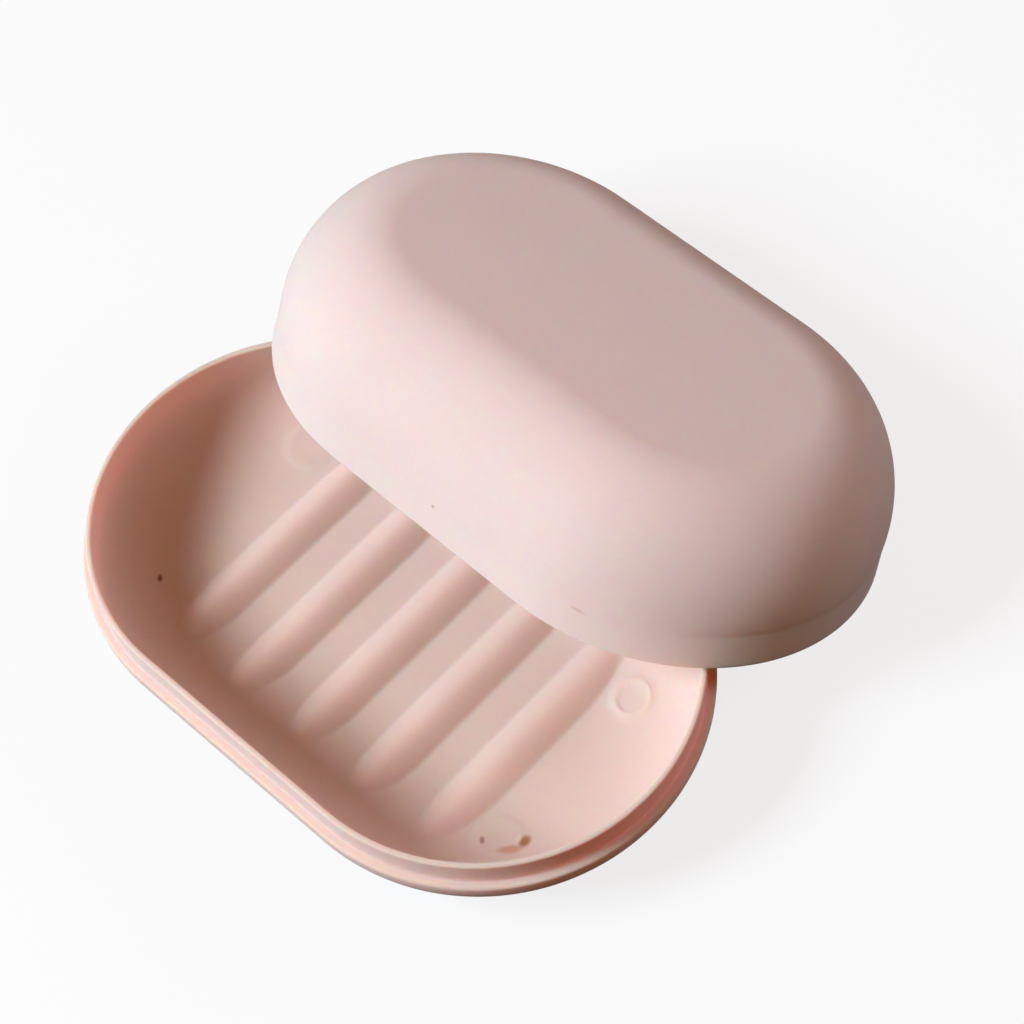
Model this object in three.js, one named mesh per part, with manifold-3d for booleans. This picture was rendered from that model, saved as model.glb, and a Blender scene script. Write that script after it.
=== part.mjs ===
// Travel soap box of pale pink polypropylene, with its lid taken off and leaned on the tray.
// Millimetres, +Z up, length along X, standing on the table at Z = 0. The origin is on the table,
// under the middle of the tray and the leaning lid together.
// Both mouldings share one stadium outline: a straight run with a half circle at each end.
import * as THREE from 'three';
import { mergeVertices } from 'three/addons/utils/BufferGeometryUtils.js';
import Module from 'manifold-3d';

// Outline that the tray and the lid share
const CASE_LENGTH = 118;
const CASE_WIDTH = 76.2;

// Tray: rounded body, ledge where the lid lands, thin lip that the lid closes over
const LEDGE_HEIGHT = 15.5;
const LEDGE_WIDTH = 1.5;
const LEDGE_EDGE_HEIGHT = 1.2;
const LIP_HEIGHT = 5.1;
const LIP_THICKNESS = 1.1;
const FLOOR_HEIGHT = 2.5;
const FLOOR_THICKNESS = 1.7;
const FLOOR_FLAT_WIDTH = 31;

// Ridges across the tray floor that hold the soap clear of the water, hollow from below
const RIDGE_COUNT = 5;
const RIDGE_PITCH = 14.5;
const RIDGE_WIDTH = 9;
const RIDGE_HEIGHT = 2.1;

// Round feet under the tray, and above each a low pad with the ring that a mould pin leaves
const FOOT_SPACING_X = 77;
const FOOT_SPACING_Y = 33;
const FOOT_DIAMETER = 8;
const PAD_DIAMETER = 9.4;
const PAD_HEIGHT = 0.3;
const RING_DIAMETER = 6.2;
const RING_WIDTH = 0.9;
const RING_HEIGHT = 0.3;

// Lid: straight skirt, broad rounded shoulder and flat top
const LID_HEIGHT = 28.7;
const LID_STRAIGHT_HEIGHT = 7;
const LID_FLAT_WIDTH = 39.8;
const LID_THICKNESS = 1.8;

// Fit of the closed lid: between its skirt and the lip, and above the lip
const LID_SIDE_CLEARANCE = 0.3;
const LID_TOP_CLEARANCE = 0.4;

// How the lid lies: far edge on the table, skirt propped on both ends of the tray's lip.
// The overhang is measured along the lid, from the prop to its near edge.
const LID_OVERHANG = 14.2;
const LID_YAW_DEGREES = -0.8;
const LID_PROP_GAP = 0.65;

// Fineness of the curves, and the overrun of cutting shapes past the face that they cut
const END_SEGMENTS = 60;
const SHOULDER_SEGMENTS = 11;
const RIDGE_SEGMENTS = 10;
const FOOT_SEGMENTS = 24;
const WELD_DISTANCE = 1e-4;
const CUT_OVERRUN = 1;

// Every ring of the outline lies at one distance from the line between the two end centres.
const END_RADIUS = CASE_WIDTH / 2;
const END_CENTRE_X = CASE_LENGTH / 2 - END_RADIUS;
const LIP_OUTER_RADIUS = END_RADIUS - LEDGE_WIDTH;
const LIP_INNER_RADIUS = LIP_OUTER_RADIUS - LIP_THICKNESS;
const RIM_HEIGHT = LEDGE_HEIGHT + LIP_HEIGHT;
const FLOOR_FLAT_RADIUS = FLOOR_FLAT_WIDTH / 2;
const BASE_HEIGHT = FLOOR_HEIGHT - FLOOR_THICKNESS;
const BOWL_RUN = LIP_INNER_RADIUS - FLOOR_FLAT_RADIUS;
const BOWL_RISE = LEDGE_HEIGHT - FLOOR_HEIGHT;

const wasm = await Module();
wasm.setup();

// A welded solid for cutting and joining, without the flat triangles at a turned shape's poles.
function solidFrom(geometry) {
  geometry.deleteAttribute('normal');
  geometry.deleteAttribute('uv');
  const welded = mergeVertices(geometry, WELD_DISTANCE);
  const corners = welded.index.array;
  const triangles = [];
  for (let i = 0; i < corners.length; i += 3) {
    const triangle = corners.slice(i, i + 3);
    if (new Set(triangle).size === 3) {
      triangles.push(...triangle);
    }
  }
  return new wasm.Manifold(new wasm.Mesh({
    numProp: 3,
    vertProperties: Float32Array.from(welded.attributes.position.array),
    triVerts: Uint32Array.from(triangles),
  }));
}

function meshFrom(solid, name, material) {
  const { vertProperties, triVerts } = solid.getMesh();
  const geometry = new THREE.BufferGeometry();
  geometry.setAttribute('position', new THREE.BufferAttribute(vertProperties, 3));
  geometry.setIndex(new THREE.BufferAttribute(triVerts, 1));
  geometry.computeVertexNormals();
  const mesh = new THREE.Mesh(geometry, material);
  mesh.name = name;
  return mesh;
}

// The same shape drawn in the YZ plane and carried along X.
function extrudeAlongX(shape, length, curveSegments) {
  const geometry = new THREE.ExtrudeGeometry(shape, { depth: length, bevelEnabled: false, curveSegments });
  geometry.translate(0, 0, -length / 2);
  const toYZ = new THREE.Matrix4().makeBasis(
    new THREE.Vector3(0, 1, 0),
    new THREE.Vector3(0, 0, 1),
    new THREE.Vector3(1, 0, 0),
  );
  return geometry.applyMatrix4(toYZ);
}

// Carries a half section round the stadium: turned about each end centre, straight between them.
// The section runs from the axis at the bottom, outwards and up, to the axis at the top.
function stadiumSolid(section) {
  const mirrored = section.slice(1, -1).reverse().map((point) => new THREE.Vector2(-point.x, point.y));
  let solid = solidFrom(extrudeAlongX(new THREE.Shape([...section, ...mirrored]), 2 * END_CENTRE_X));
  for (const side of [-1, 1]) {
    const end = new THREE.LatheGeometry(section, END_SEGMENTS).rotateX(Math.PI / 2);
    solid = solid.add(solidFrom(end.translate(side * END_CENTRE_X, 0, 0)));
  }
  return solid;
}

function quarterEllipse(centreX, centreY, radiusX, radiusY, startAngle, endAngle) {
  const curve = new THREE.EllipseCurve(centreX, centreY, radiusX, radiusY, startAngle, endAngle);
  return curve.getPoints(SHOULDER_SEGMENTS);
}

// A bar along Y under a circular arc, the shape of a floor ridge or, thinned, of its hollow.
function ridgeBar(centreX, arcCentreHeight, arcRadius) {
  const shape = new THREE.Shape().absarc(0, 0, arcRadius, 0, Math.PI);
  const geometry = extrudeAlongX(shape, CASE_WIDTH, RIDGE_SEGMENTS);
  return solidFrom(geometry.rotateZ(Math.PI / 2).translate(centreX, 0, arcCentreHeight));
}

function makeTray(material) {
  const ledgeEdgeBottom = LEDGE_HEIGHT - LEDGE_EDGE_HEIGHT;
  let body = stadiumSolid([
    new THREE.Vector2(0, BASE_HEIGHT),
    ...quarterEllipse(FLOOR_FLAT_RADIUS, ledgeEdgeBottom, END_RADIUS - FLOOR_FLAT_RADIUS,
      ledgeEdgeBottom - BASE_HEIGHT, -Math.PI / 2, 0),
    new THREE.Vector2(END_RADIUS, LEDGE_HEIGHT),
    new THREE.Vector2(LIP_OUTER_RADIUS, LEDGE_HEIGHT),
    new THREE.Vector2(LIP_OUTER_RADIUS, RIM_HEIGHT),
    new THREE.Vector2(0, RIM_HEIGHT),
  ]);
  let bowl = stadiumSolid([
    new THREE.Vector2(0, FLOOR_HEIGHT),
    ...quarterEllipse(FLOOR_FLAT_RADIUS, LEDGE_HEIGHT, BOWL_RUN, BOWL_RISE, -Math.PI / 2, 0),
    new THREE.Vector2(LIP_INNER_RADIUS, RIM_HEIGHT + CUT_OVERRUN),
    new THREE.Vector2(0, RIM_HEIGHT + CUT_OVERRUN),
  ]);

  // Each ridge is an arc over its width, and its hollow keeps the floor's thickness under it.
  const arcRadius = ((RIDGE_WIDTH / 2) ** 2 + RIDGE_HEIGHT ** 2) / (2 * RIDGE_HEIGHT);
  const arcCentreHeight = FLOOR_HEIGHT + RIDGE_HEIGHT - arcRadius;
  for (let i = 0; i < RIDGE_COUNT; i += 1) {
    const x = (i - (RIDGE_COUNT - 1) / 2) * RIDGE_PITCH;
    bowl = bowl.subtract(ridgeBar(x, arcCentreHeight, arcRadius));
    body = body.subtract(ridgeBar(x, arcCentreHeight, arcRadius - FLOOR_THICKNESS));
  }

  const corners = [];
  for (const sideX of [-1, 1]) {
    for (const sideY of [-1, 1]) {
      corners.push(new THREE.Vector2(sideX * FOOT_SPACING_X / 2, sideY * FOOT_SPACING_Y / 2));
    }
  }
  for (const corner of corners) {
    const foot = new THREE.CylinderGeometry(FOOT_DIAMETER / 2, FOOT_DIAMETER / 2, LEDGE_HEIGHT, FOOT_SEGMENTS);
    foot.rotateX(Math.PI / 2).translate(corner.x, corner.y, LEDGE_HEIGHT / 2);
    body = body.add(solidFrom(foot));
  }

  let tray = body.subtract(bowl);
  for (const corner of corners) {
    tray = tray.add(pinPad(corner));
  }
  return meshFrom(tray, 'tray', material);
}

// A low pad and its ring on the bowl above a foot, tipped to the slope that they lie on.
function pinPad(corner) {
  const outward = new THREE.Vector2(corner.x - Math.sign(corner.x) * END_CENTRE_X, corner.y);
  const share = (outward.length() - FLOOR_FLAT_RADIUS) / BOWL_RUN;
  const drop = Math.sqrt(1 - share ** 2);
  const slope = (BOWL_RISE / BOWL_RUN) * share / drop;
  outward.normalize();
  const normal = new THREE.Vector3(-slope * outward.x, -slope * outward.y, 1).normalize();
  const ringInner = (RING_DIAMETER - RING_WIDTH) / 2;
  const ringOuter = (RING_DIAMETER + RING_WIDTH) / 2;
  const pad = new THREE.LatheGeometry([
    new THREE.Vector2(0, -PAD_HEIGHT),
    new THREE.Vector2(PAD_DIAMETER / 2, -PAD_HEIGHT),
    new THREE.Vector2(ringOuter, PAD_HEIGHT),
    new THREE.Vector2(RING_DIAMETER / 2, PAD_HEIGHT + RING_HEIGHT),
    new THREE.Vector2(ringInner, PAD_HEIGHT),
    new THREE.Vector2(0, PAD_HEIGHT),
  ], FOOT_SEGMENTS).rotateX(Math.PI / 2);
  pad.applyQuaternion(new THREE.Quaternion().setFromUnitVectors(new THREE.Vector3(0, 0, 1), normal));
  return solidFrom(pad.translate(corner.x, corner.y, FLOOR_HEIGHT + BOWL_RISE * (1 - drop)));
}

// The lid is drawn mouth down with its edge at Z = 0, then laid against the tray.
const LID_SKIRT_RADIUS = LIP_OUTER_RADIUS + LID_SIDE_CLEARANCE;
const LID_WALL_RADIUS = END_RADIUS - LID_THICKNESS;

function makeLid(material) {
  const flatRadius = LID_FLAT_WIDTH / 2;
  const shoulderRise = LID_HEIGHT - LID_STRAIGHT_HEIGHT;
  const seatHeight = LIP_HEIGHT + LID_TOP_CLEARANCE;
  const shell = stadiumSolid([
    new THREE.Vector2(0, 0),
    new THREE.Vector2(END_RADIUS, 0),
    ...quarterEllipse(flatRadius, LID_STRAIGHT_HEIGHT, END_RADIUS - flatRadius, shoulderRise, 0, Math.PI / 2),
    new THREE.Vector2(0, LID_HEIGHT),
  ]);
  const hollow = stadiumSolid([
    new THREE.Vector2(0, -CUT_OVERRUN),
    new THREE.Vector2(LID_SKIRT_RADIUS, -CUT_OVERRUN),
    new THREE.Vector2(LID_SKIRT_RADIUS, seatHeight),
    new THREE.Vector2(LID_WALL_RADIUS, seatHeight),
    ...quarterEllipse(flatRadius, LID_STRAIGHT_HEIGHT, LID_WALL_RADIUS - flatRadius,
      shoulderRise - LID_THICKNESS, 0, Math.PI / 2),
    new THREE.Vector2(0, LID_HEIGHT - LID_THICKNESS),
  ]);
  const lid = meshFrom(shell.subtract(hollow), 'lid', material);

  // The lid's edge plane falls from the prop to the table. At the prop, the inside of the skirt
  // crosses the middle of the lip.
  const lean = Math.asin((RIM_HEIGHT + LID_PROP_GAP) / (CASE_WIDTH - LID_OVERHANG));
  const propAlongLid = LID_OVERHANG - END_RADIUS;
  const propReach = Math.sqrt(LID_SKIRT_RADIUS ** 2 - propAlongLid ** 2);
  const lipMiddleRadius = (LIP_OUTER_RADIUS + LIP_INNER_RADIUS) / 2;
  const propY = Math.sqrt(lipMiddleRadius ** 2 - propReach ** 2);
  lid.position.set(0, propY - propAlongLid * Math.cos(lean), END_RADIUS * Math.sin(lean));
  lid.rotation.set(-lean, 0, THREE.MathUtils.degToRad(LID_YAW_DEGREES), 'ZYX');
  return lid;
}

const soapBox = new THREE.Group();
soapBox.add(makeTray(new THREE.MeshStandardMaterial({ color: '#ebd1c6', roughness: 0.6, metalness: 0 })));
soapBox.add(makeLid(new THREE.MeshStandardMaterial({ color: '#f0dcd5', roughness: 0.6, metalness: 0 })));
soapBox.position.y = -new THREE.Box3().setFromObject(soapBox, true).getCenter(new THREE.Vector3()).y;

export default soapBox;
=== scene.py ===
import bmesh
import bpy
import numpy as np
from mathutils import Matrix, Vector


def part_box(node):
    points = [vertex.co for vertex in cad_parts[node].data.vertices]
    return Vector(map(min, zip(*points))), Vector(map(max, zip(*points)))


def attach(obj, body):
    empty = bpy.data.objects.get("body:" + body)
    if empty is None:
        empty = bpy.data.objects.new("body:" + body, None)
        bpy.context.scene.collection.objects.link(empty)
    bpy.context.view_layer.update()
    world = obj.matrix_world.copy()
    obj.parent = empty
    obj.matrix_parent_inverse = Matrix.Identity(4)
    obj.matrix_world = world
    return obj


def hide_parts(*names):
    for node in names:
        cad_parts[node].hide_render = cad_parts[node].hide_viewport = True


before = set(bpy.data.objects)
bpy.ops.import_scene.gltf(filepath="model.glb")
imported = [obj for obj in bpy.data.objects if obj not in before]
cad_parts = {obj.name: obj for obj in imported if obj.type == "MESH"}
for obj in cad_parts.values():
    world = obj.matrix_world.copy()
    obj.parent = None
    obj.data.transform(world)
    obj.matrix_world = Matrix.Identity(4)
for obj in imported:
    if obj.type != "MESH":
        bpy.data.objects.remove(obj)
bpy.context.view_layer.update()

# Tray
# One injection moulding in pale pink polypropylene, about 2 mm thick: a round-ended bowl on four short
# feet, with a thin upright lip inside the ledge where the lid lands, and five ridges that keep the soap
# clear of the water. It stands on the table, and the lid leans on its lip.
MM = 0.001

tray_low, tray_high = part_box("tray")
tray_middle_y = (tray_low.y + tray_high.y) / 2
end_radius = (tray_high.y - tray_low.y) / 2
end_centre = tray_high.x - end_radius
rim_height = tray_high.z

lip_height = 5.1 * MM
lip_thickness = 1.1 * MM
lip_rounding = 0.42 * MM
ledge_width = 1.5 * MM
ledge_height = rim_height - lip_height
ledge_edge_height = 1.2 * MM
ledge_rounding = 0.5 * MM
ledge_fillet = 0.3 * MM
floor_height = 2.5 * MM
floor_thickness = 1.7 * MM
floor_flat_radius = 15.5 * MM

ridge_places = np.arange(-2, 3)
ridge_pitch = 14.5 * MM
ridge_width = 8.5 * MM
ridge_shift = 0.5 * MM
ridge_slope = 0.97
ridge_crest_radius = 3 * MM
ridge_fillet = 0.35 * MM

foot_corner = (38.5 * MM, 16.5 * MM)
foot_radius = 4 * MM
foot_rounding = 0.4 * MM
foot_root = 0.6 * MM
pad_radius = 4.7 * MM
pad_rise = 0.2 * MM
pad_edge = 1 * MM
pin_ring_radius = 3.1 * MM
pin_ring_width = 0.9 * MM
pin_ring_rise = 0.28 * MM

lip_outer = end_radius - ledge_width
lip_inner = lip_outer - lip_thickness
base_height = floor_height - floor_thickness
bowl_run = lip_inner - floor_flat_radius
bowl_rise = ledge_height - floor_height
belly_run = end_radius - floor_flat_radius
belly_rise = ledge_height - ledge_edge_height - base_height

# Out to this ring the floor and the underside are grids. Past it the wall is a section carried round.
patch_radius = 30 * MM
straight_lines = 40
end_lines = 61
ridge_foot_lines = np.linspace(-0.9, 0.9, 9) * MM
floor_rows = 131
belly_rows = 61
wall_points = 18
edge_points = 5
corner_points = 4
foot_edge_points = 6
foot_turn_points = 48
metre_decimals = 6
weld_distance = 0.001 * MM


def arc(centre, radii, start, end, points):
    """Ellipse points (r, z) = centre + radii times (cos t, sin t), with t from start to end in degrees.
    One radius in place of two gives a circle."""
    turn = np.radians(np.linspace(start, end, points))
    return centre + radii * np.stack([np.cos(turn), np.sin(turn)], axis=1)


def outline_stations(x, radius):
    """Stations round the stadium, from the x values that its ring of this radius passes on one side.
    Each is a point of the line between the end centres, and the direction (cosine, sine) out from it:
    centre = x held between the ends, cosine = (x - centre) / radius, and back along the other side."""
    centre = np.clip(x, -end_centre, end_centre)
    cosine = np.clip((x - centre) / radius, -1, 1)
    sine = np.sqrt(1 - cosine**2)
    back = slice(-2, 0, -1)
    return (
        np.concatenate([centre, centre[back]]),
        np.concatenate([cosine, cosine[back]]),
        np.concatenate([sine, -sine[back]]),
    )


def carry_section(section, stations):
    """A section of points (r, z) carried round the stadium: (centre + r cosine, r sine, z)."""
    centre, cosine, sine = stations
    r, z = section[:, :1], section[:, 1:]
    return np.stack(np.broadcast_arrays(centre + r * cosine, r * sine, z), axis=-1)


def distance_from_spine(x, y):
    """How far a point lies from the line between the end centres, which is the ring that it is on."""
    return np.hypot(np.maximum(np.abs(x) - end_centre, 0), y)


def dish_height(distance, bottom, run, rise):
    """A flat floor, then a quarter ellipse: bottom + rise (1 - sqrt(1 - share^2)),
    where share is the way out from the flat to the wall, 0 to 1."""
    share = np.clip((distance - floor_flat_radius) / run, 0, 1)
    return bottom + rise * (1 - np.sqrt(1 - share**2))


def ridge_height(x, foot_height, half_width):
    """Bars across the floor with straight flanks and a round crest, as a hyperbola in the offset from
    the nearest bar: foot height + drop(half width) - drop(offset), drop = sqrt((slope offset)^2 + c^2),
    where c = slope^2 times the crest's radius."""
    places = np.clip(np.round((x - ridge_shift) / ridge_pitch), ridge_places[0], ridge_places[-1])
    offset = x - ridge_shift - ridge_pitch * places
    crest = ridge_slope**2 * ridge_crest_radius
    full_drop = np.hypot(ridge_slope * half_width, crest)
    return foot_height + full_drop - np.hypot(ridge_slope * offset, crest)


def soft_max(first, second, fillet):
    """The higher of two heights, with the corner between them filled:
    max + fillet/4 (1 - gap/fillet)^2."""
    closeness = np.clip(1 - np.abs(first - second) / fillet, 0, None)
    return np.maximum(first, second) + fillet / 4 * closeness**2


def pin_pad_height(x, y, corner):
    """A low round pad and, at the far right corner, the ring that a mould pin leaves on it, over the
    distance along the bowl's slope: a smooth step at the pad's edge and a parabola across the ring."""
    out_x, out_y = corner[0] - np.sign(corner[0]) * end_centre, corner[1]
    reach = np.hypot(out_x, out_y)
    share = (reach - floor_flat_radius) / bowl_run
    slope = bowl_rise / bowl_run * share / np.sqrt(1 - share**2)
    lengthening = np.hypot(1, slope)
    along = ((x - corner[0]) * out_x + (y - corner[1]) * out_y) / reach
    across = ((y - corner[1]) * out_x - (x - corner[0]) * out_y) / reach
    radius = np.hypot(along * lengthening, across)
    step = np.clip((pad_radius - radius) / pad_edge, 0, 1)
    ring = np.clip(1 - ((radius - pin_ring_radius) / (pin_ring_width / 2)) ** 2, 0, None)
    ring_rise = pin_ring_rise if min(corner) > 0 else 0
    return (pad_rise * step**2 * (3 - 2 * step) + ring_rise * ring) * lengthening


def grid_faces(rows, columns, closed):
    """Quads between neighbours of a grid numbered row by row, joined round to the first column
    if closed."""
    row, column = np.meshgrid(np.arange(rows - 1), np.arange(columns - (not closed)), indexing="ij")
    following = (column + 1) % columns
    corners = [
        row * columns + column,
        (row + 1) * columns + column,
        (row + 1) * columns + following,
        row * columns + following,
    ]
    return np.stack(corners, axis=-1).reshape(-1, 4)


def moulding(name, grids):
    """One mesh from grids of points, each (points, closed). Points that meet are welded, which closes
    the seams between grids and the poles where a row shrinks to a point."""
    points, faces, count = [], [], 0
    for grid, closed in grids:
        points.append(grid.reshape(-1, 3))
        faces.append(grid_faces(*grid.shape[:2], closed) + count)
        count += len(points[-1])
    mesh = bpy.data.meshes.new(name)
    mesh.from_pydata(np.concatenate(points).tolist(), [], np.concatenate(faces).tolist())
    welded = bmesh.new()
    welded.from_mesh(mesh)
    bmesh.ops.remove_doubles(welded, verts=welded.verts, dist=weld_distance)
    welded.to_mesh(mesh)
    welded.free()
    mesh.shade_smooth()
    piece = bpy.data.objects.new(name, mesh)
    bpy.context.collection.objects.link(piece)
    return piece


# Lines of the floor's grid, closer where a ridge meets the floor. Lines within a micrometre count once.
half_lines = np.concatenate([
    np.linspace(0, end_centre, straight_lines),
    end_centre + patch_radius * np.sin(np.radians(np.linspace(0, 90, end_lines))),
])
ridge_lines = ridge_shift + ridge_pitch * ridge_places
ridge_feet = np.add.outer(ridge_lines, [-ridge_width / 2, ridge_width / 2])
floor_lines = np.concatenate([
    half_lines,
    -half_lines,
    np.add.outer(ridge_feet, ridge_foot_lines).ravel(),
])
floor_lines = np.unique(np.round(floor_lines, metre_decimals))[::-1]
floor_centre = np.clip(floor_lines, -end_centre, end_centre)
floor_reach = np.sqrt(np.clip(patch_radius**2 - (floor_lines - floor_centre) ** 2, 0, None))

floor_y = np.outer(floor_reach, np.linspace(1, -1, floor_rows))
floor_x = np.broadcast_to(floor_lines[:, None], floor_y.shape)
floor_z = soft_max(
    dish_height(distance_from_spine(floor_x, floor_y), floor_height, bowl_run, bowl_rise),
    ridge_height(floor_x, floor_height, ridge_width / 2),
    ridge_fillet,
)
foot_corners = [
    (side_x * foot_corner[0], side_y * foot_corner[1]) for side_x in (-1, 1) for side_y in (-1, 1)
]
for corner in foot_corners:
    floor_z = floor_z + pin_pad_height(floor_x, floor_y, corner)
floor_grid = np.stack([floor_x, floor_y, floor_z], axis=-1)

belly_y = np.outer(floor_reach, np.linspace(-1, 1, belly_rows))
belly_x = np.broadcast_to(floor_lines[:, None], belly_y.shape)
belly_z = soft_max(
    dish_height(distance_from_spine(belly_x, belly_y), base_height, belly_run, belly_rise),
    ridge_height(belly_x, base_height, ridge_width / 2 - floor_thickness / 2),
    ridge_fillet,
)
belly_grid = np.stack([belly_x, belly_y, belly_z], axis=-1)

bowl_start = -np.degrees(np.arccos((patch_radius - floor_flat_radius) / bowl_run))
belly_end = -np.degrees(np.arccos((patch_radius - floor_flat_radius) / belly_run))
belly_top = ledge_height - ledge_edge_height
tray_section = np.concatenate([
    arc((floor_flat_radius, ledge_height), (bowl_run, bowl_rise), bowl_start, 0, wall_points),
    arc((lip_inner + lip_rounding, rim_height - lip_rounding), lip_rounding, 180, 90, edge_points),
    arc((lip_outer - lip_rounding, rim_height - lip_rounding), lip_rounding, 90, 0, edge_points),
    arc((lip_outer + ledge_fillet, ledge_height + ledge_fillet),
        ledge_fillet, 180, 270, corner_points),
    arc((end_radius - ledge_rounding, ledge_height - ledge_rounding),
        ledge_rounding, 90, 0, edge_points),
    arc((floor_flat_radius, belly_top), (belly_run, belly_rise), 0, belly_end, wall_points),
])
tray_wall = carry_section(tray_section, outline_stations(floor_lines, patch_radius))
tray_grids = [(floor_grid, False), (tray_wall, True), (belly_grid, False)]

# A foot's top lies a little inside the bowl's underside and follows it, which nan stands for here.
foot_turn = np.radians(np.linspace(0, 360, foot_turn_points, endpoint=False))
foot_section = np.concatenate([
    [(0, np.nan), (foot_radius, np.nan)],
    arc((foot_radius - foot_rounding, foot_rounding), foot_rounding, 0, -90, foot_edge_points),
    [(0, 0)],
])
for corner in foot_corners:
    foot_x = corner[0] + np.outer(foot_section[:, 0], np.cos(foot_turn))
    foot_y = corner[1] + np.outer(foot_section[:, 0], np.sin(foot_turn))
    underside = dish_height(distance_from_spine(foot_x, foot_y), base_height, belly_run, belly_rise)
    foot_z = np.where(np.isnan(foot_section[:, 1:]), foot_root + underside, foot_section[:, 1:])
    tray_grids.append((np.stack([foot_x, foot_y, foot_z], axis=-1), True))

for grid, _ in tray_grids:
    grid[..., 1] += tray_middle_y
tray = moulding("tray_moulding", tray_grids)

# Polypropylene from a spark-eroded mould gives the eye a satin skin without sharp highlights, faint
# clouds in the pink, shallow waves where the wall shrank, and red light that comes through thin walls.
# The mould's own grain is near 0.05 mm, too fine to show here, so it is drawn ten times as coarse.
plastic_ior = 1.49
skin_gloss = 0.1
skin_roughness = (0.55, 0.68)
grain_size = 0.5 * MM
grain_depth = 0.004 * MM
wave_size = 14 * MM
wave_depth = 0.02 * MM
cloud_size = 18 * MM
light_reach = 2.6 * MM
light_reach_shares = (1.0, 0.3, 0.12)
mark_core = 0.3

# Sockets of the Mix node for colours, whose names its sockets for numbers share.
mix_share, mix_first, mix_second, mix_result = 0, 6, 7, 2


def linear(hex_colour):
    """An sRGB hex colour as the linear RGBA that shaders take."""
    srgb = np.array([int(hex_colour[i : i + 2], 16) for i in (1, 3, 5)]) / 255
    return (*np.where(srgb <= 0.04045, srgb / 12.92, ((srgb + 0.055) / 1.055) ** 2.4), 1.0)


def add_node(tree, kind, inputs=None, **settings):
    """Adds a node with its settings. An input is a value, or another node's output to link from."""
    node = tree.nodes.new(kind)
    for name, value in settings.items():
        setattr(node, name, value)
    for name, value in (inputs or {}).items():
        if isinstance(value, bpy.types.NodeSocket):
            tree.links.new(value, node.inputs[name])
        else:
            node.inputs[name].default_value = value
    return node


def moulded_polypropylene(name, colour, cloud_colour, marks_and_painted_shade):
    """The clouded pink of one moulding, with its marks, under a grained and slightly wavy skin. The
    marks are specks, painted shade and painted highlights. Each fills an ellipsoid and fades to its
    edge: centre and half sizes in mm, turn and colour."""
    material = bpy.data.materials.new(name)
    material.use_nodes = True
    tree = material.node_tree
    tree.nodes.clear()
    place = add_node(tree, "ShaderNodeTexCoord").outputs["Object"]
    clouds = add_node(tree, "ShaderNodeTexNoise", {
        "Vector": place, "Scale": 1 / cloud_size, "Detail": 3.0})
    tint = add_node(tree, "ShaderNodeMix", {
        mix_share: clouds.outputs["Fac"],
        mix_first: linear(colour),
        mix_second: linear(cloud_colour),
    }, data_type="RGBA")
    for centre, turn, half_sizes, mark_colour in marks_and_painted_shade:
        local = add_node(tree, "ShaderNodeMapping", {
            "Vector": place,
            "Location": np.multiply(centre, MM),
            "Rotation": turn,
            "Scale": np.multiply(half_sizes, MM),
        }, vector_type="TEXTURE")
        reach = add_node(tree, "ShaderNodeVectorMath", {0: local.outputs["Vector"]}, operation="LENGTH")
        depth = add_node(tree, "ShaderNodeMapRange", {
            "Value": reach.outputs["Value"],
            "From Min": 1.0,
            "From Max": mark_core,
        }, interpolation_type="SMOOTHSTEP")
        tint = add_node(tree, "ShaderNodeMix", {
            mix_share: depth.outputs["Result"],
            mix_first: tint.outputs[mix_result],
            mix_second: linear(mark_colour),
        }, data_type="RGBA")
    grain = add_node(tree, "ShaderNodeTexNoise", {
        "Vector": place, "Scale": 1 / grain_size, "Detail": 2.0})
    roughness = add_node(tree, "ShaderNodeMapRange", {
        "Value": grain.outputs["Fac"], "To Min": skin_roughness[0], "To Max": skin_roughness[1]})
    waves = add_node(tree, "ShaderNodeTexNoise", {
        "Vector": place, "Scale": 1 / wave_size, "Detail": 1.0})
    wavy = add_node(tree, "ShaderNodeBump", {"Height": waves.outputs["Fac"], "Distance": wave_depth})
    grained = add_node(tree, "ShaderNodeBump", {
        "Height": grain.outputs["Fac"], "Distance": grain_depth, "Normal": wavy.outputs["Normal"]})
    plastic = add_node(tree, "ShaderNodeBsdfPrincipled", {
        "Base Color": tint.outputs[mix_result],
        "Roughness": roughness.outputs["Result"],
        "IOR": plastic_ior,
        "Specular IOR Level": skin_gloss,
        "Subsurface Weight": 1.0,
        "Subsurface Radius": light_reach_shares,
        "Subsurface Scale": light_reach,
        "Normal": grained.outputs["Normal"],
    }, subsurface_method="RANDOM_WALK")
    add_node(tree, "ShaderNodeOutputMaterial", {"Surface": plastic.outputs["BSDF"]})
    return material


# Marks on the tray, as centre, turn, half sizes and colour: two small dark spots, then three parts of
# painted shade and a painted highlight on the edge of the near right pin ring.
tray_spots_and_painted_ring_shade = [
    ((37.0, -42.4, 4.3), (0, 0, 0.78), (0.6, 1.2, 1.2), "#bb958a"),
    ((-38.8, -43.4, 5.0), (0, 0, 0.78), (0.6, 1.1, 1.5), "#a0705a"),
    # Painted shade (dark arc, dark blob) and painted highlight (pale crescent) where the near right pin
    # ring's edge is, as that corner has no ring in its shape.
    ((41.8, -40.9, 5.2), (0, 0, -0.69), (1.3, 2.9, 1.5), "#ddaa95"),
    ((42.5, -38.1, 4.5), (0, 0, 0.29), (1.3, 2.0, 1.5), "#b88261"),
    ((41.3, -38.4, 4.4), (0, 0, 0.34), (0.7, 1.6, 1.2), "#f3dcbf"),
]
# The tray's pink and cloud colour are a little darker and warmer than the lid's, though both are one
# plastic: this is painted shade for the inside of the bowl.
tray_plastic_with_painted_shade = moulded_polypropylene("tray polypropylene with painted shade", "#efd4c9", "#eccfc3", tray_spots_and_painted_ring_shade)
tray.data.materials.append(tray_plastic_with_painted_shade)
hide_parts("tray")
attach(tray, "tray")

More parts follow.
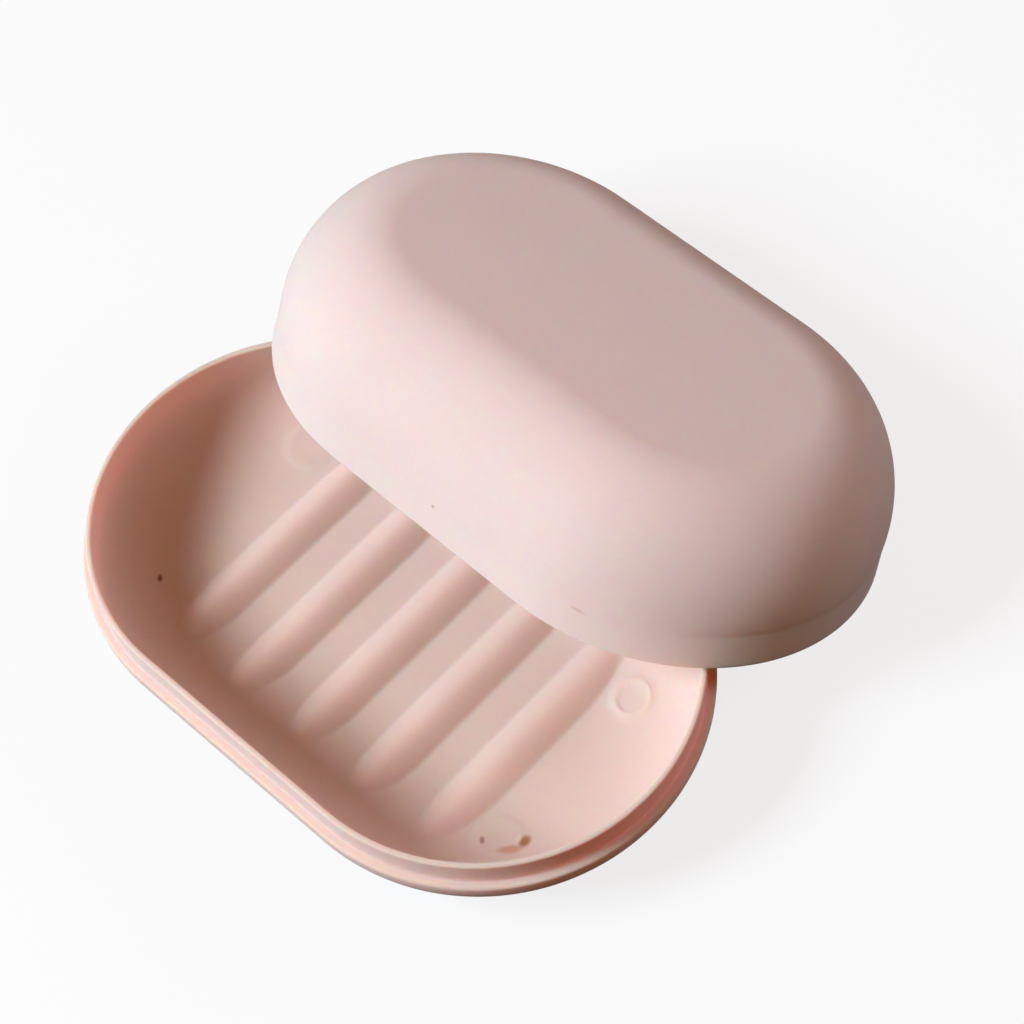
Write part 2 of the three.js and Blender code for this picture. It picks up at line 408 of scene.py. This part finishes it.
# Lid
# One injection moulding of the same polypropylene: a deep dome with a flat top, a broad rounded shoulder
# and a nearly straight skirt, thinned inside where it closes over the tray's lip. It lies loose, with
# its far edge on the table and its skirt propped across both ends of the lip.
lid_height = 28.7 * MM
lid_straight_height = 7.6 * MM
lid_flat_radius = 19.9 * MM
lid_thickness = 1.8 * MM
lid_side_clearance = 0.3 * MM
lid_top_clearance = 0.4 * MM
lid_edge_rounding = 0.45 * MM
lid_seat_fillet = 0.3 * MM
lid_flare = 0.5 * MM
lid_line_depth = 0.1 * MM
lid_line_half_width = 0.65 * MM
lid_overhang = 14.2 * MM
lid_yaw = np.radians(-0.8)
lid_prop_gap = 0.65 * MM

lid_skirt = lip_outer + lid_side_clearance
lid_wall = end_radius - lid_thickness
lid_seat = lip_height + lid_top_clearance
lid_ceiling = lid_height - lid_thickness
lid_shoulder = end_radius - lid_flare
lid_line_height = lid_straight_height - lid_line_half_width
lid_skirt_top = lid_line_height - lid_line_half_width

lid_lean = np.arcsin((rim_height + lid_prop_gap) / (2 * end_radius - lid_overhang))
lid_prop = lid_overhang - end_radius
lid_prop_x = np.sqrt(lid_skirt**2 - lid_prop**2)
lid_prop_y = np.sqrt(((lip_outer + lip_inner) / 2) ** 2 - lid_prop_x**2)
lid_middle_y = tray_middle_y + lid_prop_y - lid_prop * np.cos(lid_lean)

lid_top_rings = (0, 8 * MM, 14 * MM, 18 * MM)
lid_ceiling_rings = (12 * MM, 0)
dome_points = 40
hollow_points = 30
skirt_points = 12
lid_edge_points = 6
lid_end_lines = 49
lid_straight_lines = 41

lid_section = np.concatenate([
    [(radius, lid_height) for radius in lid_top_rings],
    arc((lid_flat_radius, lid_straight_height),
        (lid_shoulder - lid_flat_radius, lid_height - lid_straight_height), 90, 0, dome_points),
    [(lid_shoulder - lid_line_depth, lid_line_height)],
    np.linspace((lid_shoulder, lid_skirt_top), (end_radius, lid_edge_rounding),
                skirt_points, endpoint=False),
    arc((end_radius - lid_edge_rounding, lid_edge_rounding),
        lid_edge_rounding, 0, -90, lid_edge_points),
    arc((lid_skirt + lid_edge_rounding, lid_edge_rounding),
        lid_edge_rounding, -90, -180, lid_edge_points),
    arc((lid_skirt - lid_seat_fillet, lid_seat - lid_seat_fillet),
        lid_seat_fillet, 0, 90, corner_points),
    arc((lid_flat_radius, lid_straight_height),
        (lid_wall - lid_flat_radius, lid_ceiling - lid_straight_height), 0, 90, hollow_points),
    [(radius, lid_ceiling) for radius in lid_ceiling_rings],
])
lid_lines = np.concatenate([
    end_centre + end_radius * np.cos(np.radians(np.linspace(0, 90, lid_end_lines))),
    np.linspace(end_centre, -end_centre, lid_straight_lines)[1:-1],
    -end_centre - end_radius * np.sin(np.radians(np.linspace(0, 90, lid_end_lines))),
])
lid_points = carry_section(lid_section, outline_stations(lid_lines, end_radius))
lid_turn = np.array(Matrix.Rotation(lid_yaw, 3, "Z") @ Matrix.Rotation(-lid_lean, 3, "X"))
lid_points = lid_points @ lid_turn.T + (0, lid_middle_y, end_radius * np.sin(lid_lean))
lid = moulding("lid_moulding", [(lid_points, True)])

# A speck on the near flank, and a nick there drawn only as its painted shade, as centre, turn, half
# sizes and colour.
lid_speck_and_painted_nick_shade = [
    ((0.4, -12.1, 31.4), (0, 0, 0), (0.55, 0.55, 0.55), "#c2a69d"),
    ((31.1, -11.0, 31.0), (0, 0.17, 0.22), (2.1, 1.0, 0.5), "#dfc6bc"),
]
lid_plastic = moulded_polypropylene("lid moulded polypropylene", "#f0ddd7", "#eed8d1", lid_speck_and_painted_nick_shade)
lid.data.materials.append(lid_plastic)
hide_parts("lid")
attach(lid, "lid")

# Table
# A plain sheet of white paper under the box. To the camera it is nearly white and keeps the box's
# shadow, and to the plastic it is a dull grey, so that little light comes back up from below.
table_half = 3.0
paper_colour = "#fafafa"
paper_glow = 0.8
paper_dull_colour = "#4c4c4c"
white = "#ffffff"

table_corners = [
    (-table_half, -table_half, 0),
    (table_half, -table_half, 0),
    (table_half, table_half, 0),
    (-table_half, table_half, 0),
]
table_mesh = bpy.data.meshes.new("table")
table_mesh.from_pydata(table_corners, [], [(0, 1, 2, 3)])
table = bpy.data.objects.new("table", table_mesh)
bpy.context.collection.objects.link(table)


def seen_rays(tree):
    """1 for a ray that shows its surface to the eye, straight or in a reflection or through glass,
    and 0 for one that only carries light."""
    rays = add_node(tree, "ShaderNodeLightPath").outputs
    mirrored = add_node(tree, "ShaderNodeMath", {
        0: rays["Is Glossy Ray"], 1: rays["Is Transmission Ray"]}, operation="MAXIMUM")
    seen = add_node(tree, "ShaderNodeMath", {
        0: rays["Is Camera Ray"], 1: mirrored.outputs[0]}, operation="MAXIMUM")
    return seen.outputs[0]


# Smooth uncoated paper shows no gloss, only flat white. The glow lifts it to white and keeps the shadow
# soft.
paper = bpy.data.materials.new("white paper sheet")
paper.use_nodes = True
paper_tree = paper.node_tree
paper_tree.nodes.clear()
glow = add_node(paper_tree, "ShaderNodeEmission", {"Color": linear(white), "Strength": 1.0})
sheet = add_node(paper_tree, "ShaderNodeBsdfDiffuse", {"Color": linear(paper_colour)})
shown = add_node(paper_tree, "ShaderNodeMixShader", {
    0: paper_glow, 1: sheet.outputs[0], 2: glow.outputs[0]})
dull = add_node(paper_tree, "ShaderNodeBsdfDiffuse", {"Color": linear(paper_dull_colour)})
face = add_node(paper_tree, "ShaderNodeMixShader", {
    0: seen_rays(paper_tree), 1: dull.outputs[0], 2: shown.outputs[0]})
add_node(paper_tree, "ShaderNodeOutputMaterial", {"Surface": face.outputs[0]})
table_mesh.materials.append(paper)

# Light
# A tall window low on the near left lights the lid's flank and leaves the bowl's left side in shade.
# A weaker one behind the box gives the lid's top its tone, and the lid keeps it off the tray. A dim warm
# room from all round fills the rest, and the camera sees a plain white backdrop in its place.
window_distance = 1.2
window_aim = Vector((0, 0, 20 * MM))
room_colour = "#7f5423"


def window(name, azimuth, elevation, sizes, power, colour):
    """A rectangular lamp that faces the box, with its second size along y, from angles in degrees."""
    turn, height = np.radians((azimuth, elevation))
    way = Vector((np.cos(height) * np.cos(turn), np.cos(height) * np.sin(turn), np.sin(height)))
    across = Vector((0, 1, 0)).cross(way).normalized()
    lamp = bpy.data.lights.new(name, "AREA")
    lamp.shape = "RECTANGLE"
    lamp.size, lamp.size_y = sizes
    lamp.energy = power
    lamp.color = linear(colour)[:3]
    light = bpy.data.objects.new(name, lamp)
    bpy.context.collection.objects.link(light)
    light.location = window_aim + window_distance * way
    light.rotation_euler = Matrix((across, way.cross(across), way)).transposed().to_euler()


window("near_window", azimuth=239, elevation=39.7, sizes=(0.32, 0.56), power=17.5, colour="#e4f2ff")
window("far_window", azimuth=60, elevation=30, sizes=(0.45, 0.45), power=3.1, colour="#e4eaff")

world = bpy.data.worlds.new("warm_room")
bpy.context.scene.world = world
world.use_nodes = True
world_tree = world.node_tree
world_tree.nodes.clear()
room = add_node(world_tree, "ShaderNodeBackground", {"Color": linear(room_colour), "Strength": 1.0})
backdrop = add_node(world_tree, "ShaderNodeBackground", {"Color": linear(white), "Strength": 1.0})
around = add_node(world_tree, "ShaderNodeMixShader", {
    0: seen_rays(world_tree), 1: room.outputs[0], 2: backdrop.outputs[0]})
add_node(world_tree, "ShaderNodeOutputWorld", {"Surface": around.outputs[0]})

# Camera
# It looks down on the box from the near right corner, a little turned, from about arm's length.
# Its focal length is in pixels of the square picture, and its nearest distance is well before the box.
camera_azimuth = np.radians(48.74)
camera_elevation = np.radians(58.79)
camera_roll = np.radians(-7.22)
camera_distance = 432.71 * MM
camera_target = Vector((-3.26 * MM, 31.70 * MM + tray_middle_y, 0))
camera_nearest = 10 * MM
image_pixels = 1024
focal_pixels = 2438.85
sensor_millimetres = 36

camera_lens = bpy.data.cameras.new("camera")
camera_lens.sensor_width = sensor_millimetres
camera_lens.lens = sensor_millimetres * focal_pixels / image_pixels
camera_lens.clip_start = camera_nearest
camera = bpy.data.objects.new("camera", camera_lens)
bpy.context.collection.objects.link(camera)
camera_back = Vector((
    np.sin(camera_azimuth) * np.cos(camera_elevation),
    -np.cos(camera_azimuth) * np.cos(camera_elevation),
    np.sin(camera_elevation),
))
camera_right = Vector((np.cos(camera_azimuth), np.sin(camera_azimuth), 0))
camera_up = camera_back.cross(camera_right)
upright = Matrix((camera_right, camera_up, camera_back)).transposed()
camera.rotation_euler = (upright @ Matrix.Rotation(camera_roll, 3, "Z")).to_euler()
camera.location = camera_target + camera_distance * camera_back
bpy.context.scene.camera = camera
bpy.context.scene.view_settings.view_transform = "Standard"
